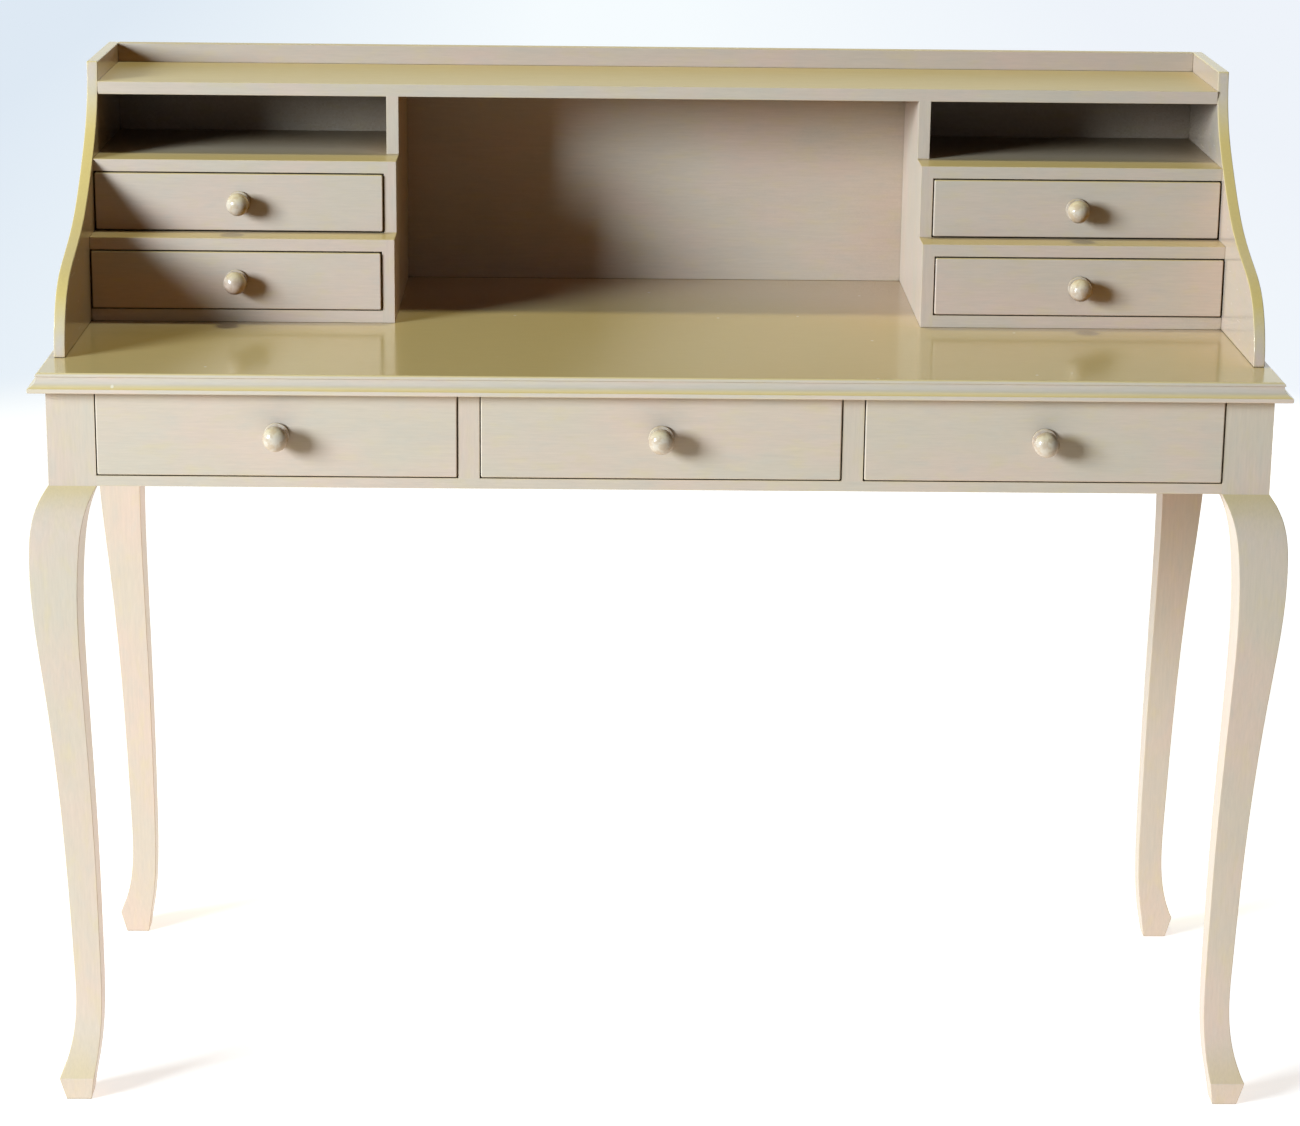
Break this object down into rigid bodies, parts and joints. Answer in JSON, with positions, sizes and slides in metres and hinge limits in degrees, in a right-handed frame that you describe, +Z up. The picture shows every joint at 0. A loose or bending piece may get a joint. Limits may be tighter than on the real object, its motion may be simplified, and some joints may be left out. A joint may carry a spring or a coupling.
{
  "type": "bonheur du jour writing desk",
  "caption": "Painted writing desk on cabriole legs, wide drawers in the apron, and a stepped superstructure with an open bay, pigeonholes and small drawers between S-edged sides.",
  "frame": {"origin": "on the floor, in the middle of the desk's length and depth", "axes": "+Z up, -Y towards someone who sits at the desk, +X to their right"},
  "size_m": [1.2474, 0.5494, 1.029],
  "materials": {
    "carcase_paint": "satin greige paint, brushed and lightly rubbed at the edges",
    "drawer_front_paint": "satin greige paint, brushed",
    "knob_paint": "gloss greige paint over turned wood",
    "inner_wood": "bare planed softwood"
  },
  "bodies": {
    "carcase": {"back_apron": "carcase_paint", "back_panel": "carcase_paint", "base_boards": "carcase_paint", "desktop": "carcase_paint", "drawer_guides": "inner_wood", "drawer_runners": "inner_wood", "front_left_leg": "carcase_paint", "front_rail": "carcase_paint", "front_right_leg": "carcase_paint", "gallery_rail": "carcase_paint", "left_apron": "carcase_paint", "left_drawer_divider": "carcase_paint", "left_lower_shelf": "carcase_paint", "left_partition": "carcase_paint", "left_side_panel": "carcase_paint", "left_upper_shelf": "carcase_paint", "rear_left_leg": "carcase_paint", "rear_right_leg": "carcase_paint", "right_apron": "carcase_paint", "right_drawer_divider": "carcase_paint", "right_lower_shelf": "carcase_paint", "right_partition": "carcase_paint", "right_side_panel": "carcase_paint", "right_upper_shelf": "carcase_paint", "top_board": "carcase_paint"},
    "upper_left_drawer": {"upper_left_drawer_front": "drawer_front_paint", "upper_left_drawer_sides": "inner_wood", "upper_left_drawer_back": "inner_wood", "upper_left_drawer_bottom": "inner_wood", "upper_left_drawer_knob": "knob_paint"},
    "lower_left_drawer": {"lower_left_drawer_front": "drawer_front_paint", "lower_left_drawer_sides": "inner_wood", "lower_left_drawer_back": "inner_wood", "lower_left_drawer_bottom": "inner_wood", "lower_left_drawer_knob": "knob_paint"},
    "upper_right_drawer": {"upper_right_drawer_front": "drawer_front_paint", "upper_right_drawer_sides": "inner_wood", "upper_right_drawer_back": "inner_wood", "upper_right_drawer_bottom": "inner_wood", "upper_right_drawer_knob": "knob_paint"},
    "lower_right_drawer": {"lower_right_drawer_front": "drawer_front_paint", "lower_right_drawer_sides": "inner_wood", "lower_right_drawer_back": "inner_wood", "lower_right_drawer_bottom": "inner_wood", "lower_right_drawer_knob": "knob_paint"},
    "left_wide_drawer": {"left_wide_drawer_front": "drawer_front_paint", "left_wide_drawer_sides": "inner_wood", "left_wide_drawer_back": "inner_wood", "left_wide_drawer_bottom": "inner_wood", "left_wide_drawer_knob": "knob_paint"},
    "middle_wide_drawer": {"middle_wide_drawer_front": "drawer_front_paint", "middle_wide_drawer_sides": "inner_wood", "middle_wide_drawer_back": "inner_wood", "middle_wide_drawer_bottom": "inner_wood", "middle_wide_drawer_knob": "knob_paint"},
    "right_wide_drawer": {"right_wide_drawer_front": "drawer_front_paint", "right_wide_drawer_sides": "inner_wood", "right_wide_drawer_back": "inner_wood", "right_wide_drawer_bottom": "inner_wood", "right_wide_drawer_knob": "knob_paint"}
  },
  "joints": [
    {"name": "upper_left_drawer_slide", "type": "slide", "parent": "carcase", "child": "upper_left_drawer", "axis": [0, -1, 0], "range_m": [0, 0.16]},
    {"name": "lower_left_drawer_slide", "type": "slide", "parent": "carcase", "child": "lower_left_drawer", "axis": [0, -1, 0], "range_m": [0, 0.19]},
    {"name": "upper_right_drawer_slide", "type": "slide", "parent": "carcase", "child": "upper_right_drawer", "axis": [0, -1, 0], "range_m": [0, 0.16]},
    {"name": "lower_right_drawer_slide", "type": "slide", "parent": "carcase", "child": "lower_right_drawer", "axis": [0, -1, 0], "range_m": [0, 0.19]},
    {"name": "left_wide_drawer_slide", "type": "slide", "parent": "carcase", "child": "left_wide_drawer", "axis": [0, -1, 0], "range_m": [0, 0.34]},
    {"name": "middle_wide_drawer_slide", "type": "slide", "parent": "carcase", "child": "middle_wide_drawer", "axis": [0, -1, 0], "range_m": [0, 0.34]},
    {"name": "right_wide_drawer_slide", "type": "slide", "parent": "carcase", "child": "right_wide_drawer", "axis": [0, -1, 0], "range_m": [0, 0.34]}
  ]
}
